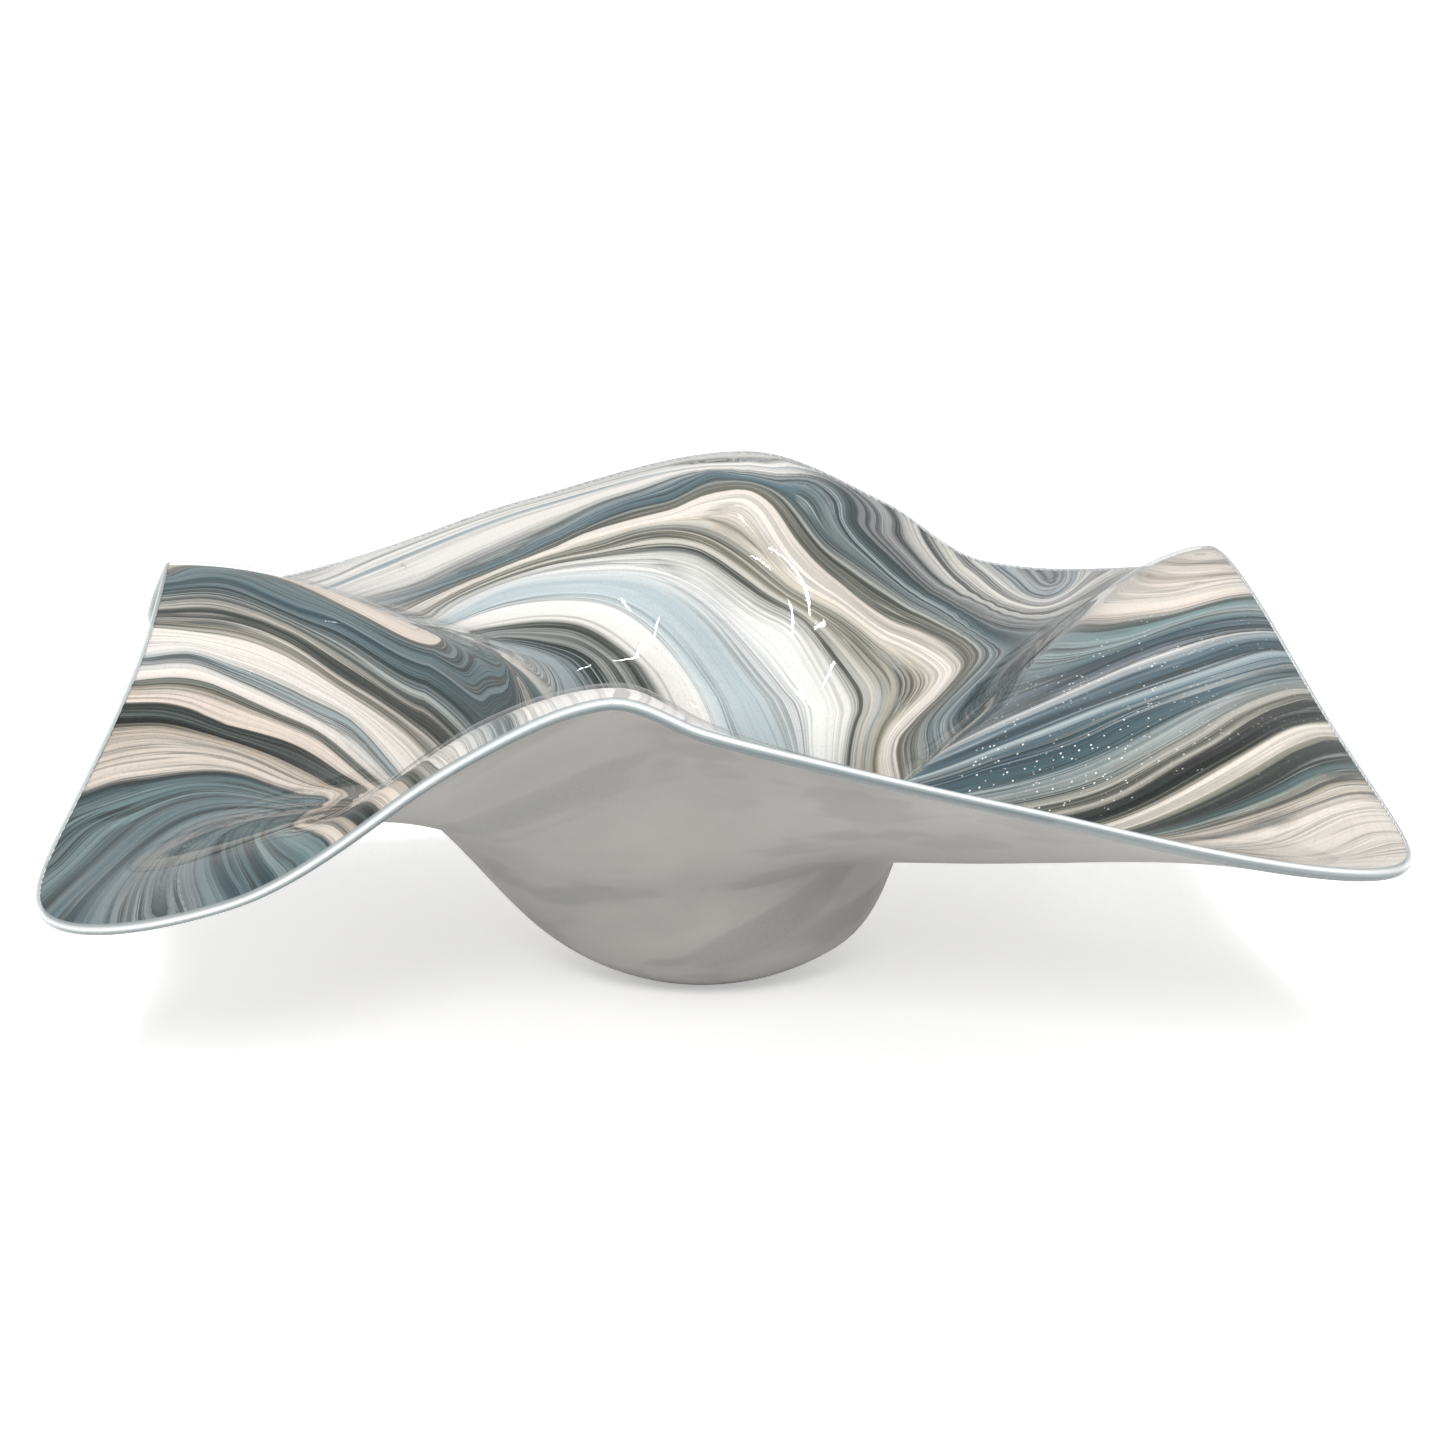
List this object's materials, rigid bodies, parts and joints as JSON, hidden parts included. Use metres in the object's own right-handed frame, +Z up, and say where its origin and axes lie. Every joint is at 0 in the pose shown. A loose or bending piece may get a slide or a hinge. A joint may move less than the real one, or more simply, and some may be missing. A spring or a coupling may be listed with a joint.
{
  "type": "art glass bowl",
  "caption": "Wavy square centrepiece bowl of marbled, cased art glass with raised folded edges, low corners and a round cup on a small ground foot.",
  "frame": {"origin": "centre of the foot's ground face, where the bowl stands on a table", "axes": "+Z up out of the bowl, -Y towards the front fold, +X towards the right fold"},
  "size_m": [0.4626, 0.4447, 0.17],
  "materials": {
    "ground_foot": "grey opal glass, ground flat and half polished",
    "grey_opal": "opaque warm grey opal glass with soft darker swirls, glossy",
    "marbled_glass": "opaque marbled glass in cream, slate blue, teal and black, with silver flecks",
    "clear_glass": "clear casing, fire polished",
    "lip_glass": "clear fire-polished lip"
  },
  "bodies": {
    "root": {"foot_pad": "ground_foot", "grey_backing": "grey_opal", "marbled_layer": "marbled_glass", "clear_casing": "clear_glass", "rim_lip": "lip_glass"}
  },
  "joints": []
}
